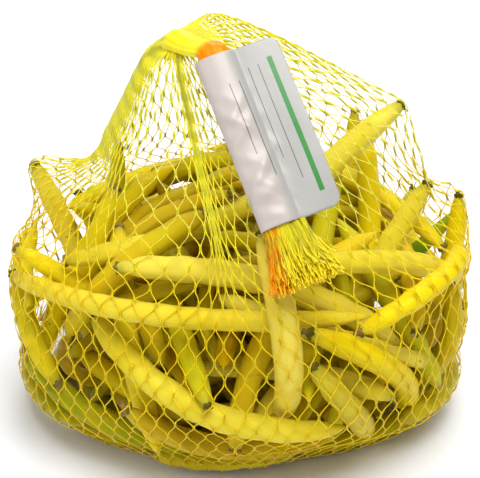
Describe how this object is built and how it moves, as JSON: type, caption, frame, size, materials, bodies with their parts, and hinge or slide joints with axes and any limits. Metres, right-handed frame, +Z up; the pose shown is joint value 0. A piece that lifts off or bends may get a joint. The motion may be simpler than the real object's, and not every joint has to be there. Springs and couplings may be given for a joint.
{
  "type": "net bag of yellow beans",
  "caption": "Gathered net bag filled with yellow string beans, with a bare label folded round its tail, standing on a small flat base weld.",
  "frame": {"origin": "on the surface that the bag stands on, in the flat base weld under the middle of the bag", "axes": "+Z up, +X to the bag's right along its greatest width, the label and its tail towards -Y"},
  "size_m": [0.1993, 0.1744, 0.1815],
  "materials": {
    "bean": "satin, waxy",
    "net": "gloss",
    "label": "satin"
  },
  "bodies": {
    "root": {"bean_01": "bean", "bean_02": "bean", "bean_03": "bean", "bean_04": "bean", "bean_05": "bean", "bean_06": "bean", "bean_07": "bean", "bean_08": "bean", "bean_09": "bean", "bean_10": "bean", "bean_11": "bean", "bean_12": "bean", "bean_13": "bean", "bean_14": "bean", "bean_15": "bean", "bean_16": "bean", "bean_17": "bean", "bean_18": "bean", "bean_19": "bean", "bean_20": "bean", "bean_21": "bean", "bean_22": "bean", "bean_23": "bean", "bean_24": "bean", "bean_25": "bean", "bean_26": "bean", "bean_27": "bean", "bean_28": "bean", "bean_29": "bean", "bean_30": "bean", "bean_31": "bean", "bean_32": "bean", "bean_33": "bean", "bean_34": "bean", "bean_35": "bean", "bean_36": "bean", "bean_37": "bean", "bean_38": "bean", "bean_39": "bean", "bean_40": "bean", "bean_41": "bean", "bean_42": "bean", "bean_43": "bean", "bean_44": "bean", "bean_45": "bean", "bean_46": "bean", "bean_47": "bean", "bean_48": "bean", "bean_49": "bean", "bean_50": "bean", "bean_51": "bean", "bean_52": "bean", "bean_53": "bean", "bean_54": "bean", "bean_55": "bean", "bean_56": "bean", "heart": "bean", "label": "label", "net_bag": "net"}
  },
  "joints": []
}
